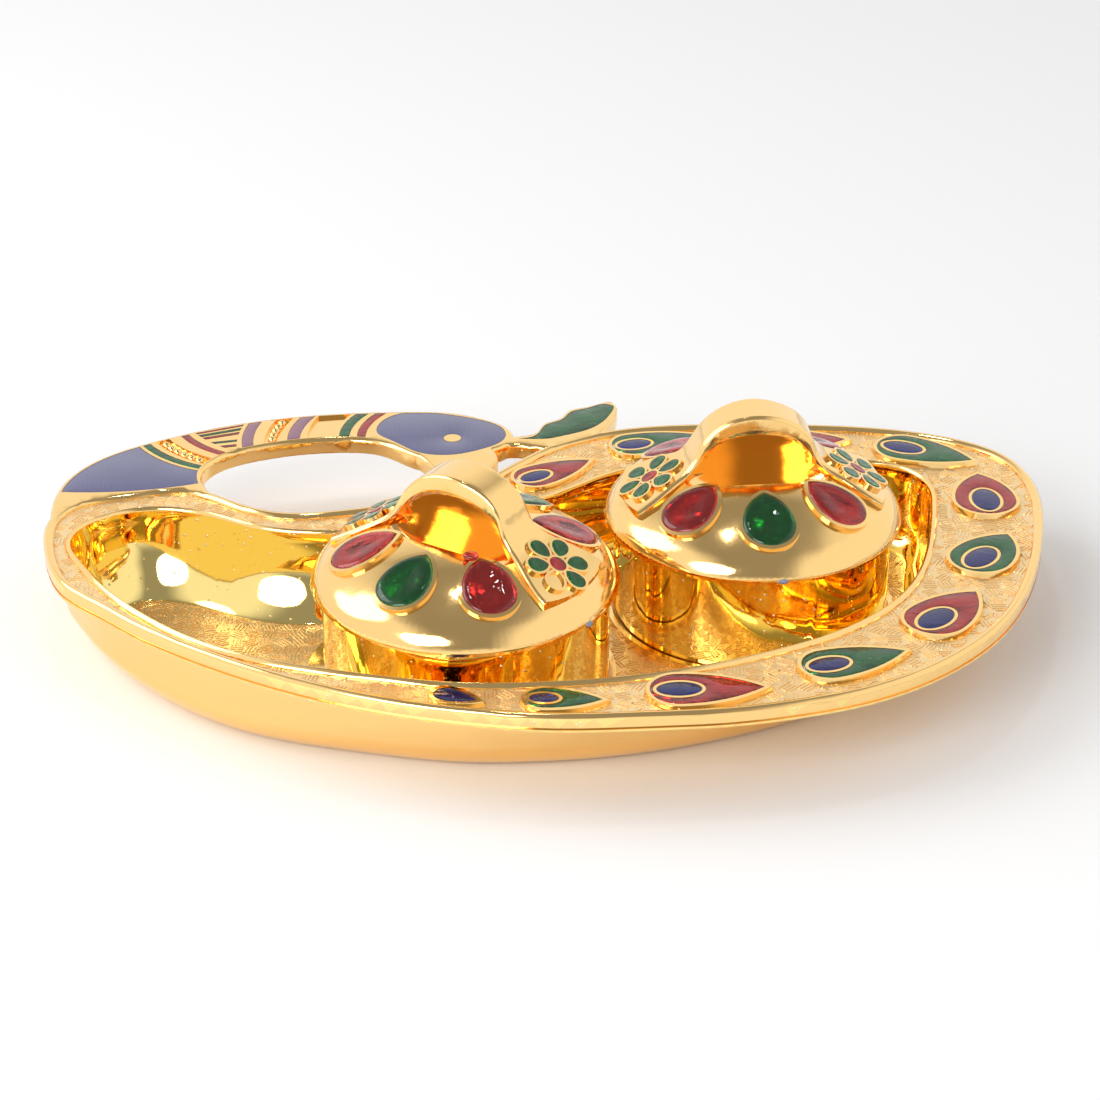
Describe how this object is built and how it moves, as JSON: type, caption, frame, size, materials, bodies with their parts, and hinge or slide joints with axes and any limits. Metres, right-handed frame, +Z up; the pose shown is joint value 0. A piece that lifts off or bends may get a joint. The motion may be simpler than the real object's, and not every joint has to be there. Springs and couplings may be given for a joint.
{
  "type": "kumkum box",
  "caption": "Peacock-shaped kumkum box: gold-plated tray with enamelled feather rim and curled bird's neck, lift-out round cups, and domed lids with arched finger grips.",
  "frame": {"origin": "on the table, under the middle of the whole box's bounding box", "axes": "+X along the length towards the bird's tail, +Y towards the bird's head, +Z up"},
  "size_m": [0.1537, 0.1018, 0.036],
  "materials": {
    "gold_plating": "bright gold metallised moulded plastic, with a hatched texture on the flange and recess floor",
    "slate_blue_enamel": "pearly poured resin enamel",
    "blue_enamel": "clear glossy poured resin enamel",
    "green_enamel": "clear glossy poured resin enamel over gold",
    "red_enamel": "clear glossy poured resin enamel over gold",
    "violet_enamel": "pearly poured resin enamel"
  },
  "bodies": {
    "tray": {"crest_green": "green_enamel", "feather_01_blue": "blue_enamel", "feather_02_green": "green_enamel", "feather_02_green_eye": "blue_enamel", "feather_03_red": "red_enamel", "feather_03_red_eye": "blue_enamel", "feather_04_green": "green_enamel", "feather_04_green_eye": "blue_enamel", "feather_05_red": "red_enamel", "feather_05_red_eye": "blue_enamel", "feather_06_green": "green_enamel", "feather_06_green_eye": "blue_enamel", "feather_07_red": "red_enamel", "feather_07_red_eye": "blue_enamel", "feather_08_green": "green_enamel", "feather_08_green_eye": "blue_enamel", "feather_09_red": "red_enamel", "feather_09_red_eye": "blue_enamel", "feather_10_green": "green_enamel", "feather_10_green_eye": "blue_enamel", "feather_11_red": "red_enamel", "feather_11_red_eye": "blue_enamel", "head_blue": "slate_blue_enamel", "neck_base_blue": "slate_blue_enamel", "neck_green_band": "green_enamel", "neck_green_stripes": "green_enamel", "neck_red_band": "red_enamel", "neck_red_stripes": "red_enamel", "neck_violet_band": "violet_enamel", "throat_green_band": "green_enamel", "throat_red_band": "red_enamel", "throat_violet_band": "violet_enamel", "tray": "gold_plating"},
    "left_cup": {"left_cup": "gold_plating"},
    "right_cup": {"right_cup": "gold_plating"},
    "left_lid": {"left_lid": "gold_plating", "left_lid_drop_1_red": "red_enamel", "left_lid_drop_2_green": "green_enamel", "left_lid_drop_3_red": "red_enamel", "left_lid_drop_4_red": "red_enamel", "left_lid_drop_5_green": "green_enamel", "left_lid_drop_6_red": "red_enamel", "left_lid_first_flower_heart": "red_enamel", "left_lid_first_flower_petals": "green_enamel", "left_lid_second_flower_heart": "red_enamel", "left_lid_second_flower_petals": "green_enamel"},
    "right_lid": {"right_lid": "gold_plating", "right_lid_drop_1_red": "red_enamel", "right_lid_drop_2_green": "green_enamel", "right_lid_drop_3_red": "red_enamel", "right_lid_drop_4_red": "red_enamel", "right_lid_drop_5_green": "green_enamel", "right_lid_drop_6_red": "red_enamel", "right_lid_first_flower_heart": "red_enamel", "right_lid_first_flower_petals": "green_enamel", "right_lid_second_flower_heart": "red_enamel", "right_lid_second_flower_petals": "green_enamel"}
  },
  "joints": [
    {"name": "left_cup_lift", "type": "slide", "parent": "tray", "child": "left_cup", "axis": [0, 0, 1], "range_m": [0, 0.03]},
    {"name": "left_lid_lift", "type": "slide", "parent": "left_cup", "child": "left_lid", "axis": [0, 0, 1], "range_m": [0, 0.03]},
    {"name": "right_cup_lift", "type": "slide", "parent": "tray", "child": "right_cup", "axis": [0, 0, 1], "range_m": [0, 0.03]},
    {"name": "right_lid_lift", "type": "slide", "parent": "right_cup", "child": "right_lid", "axis": [0, 0, 1], "range_m": [0, 0.03]}
  ]
}
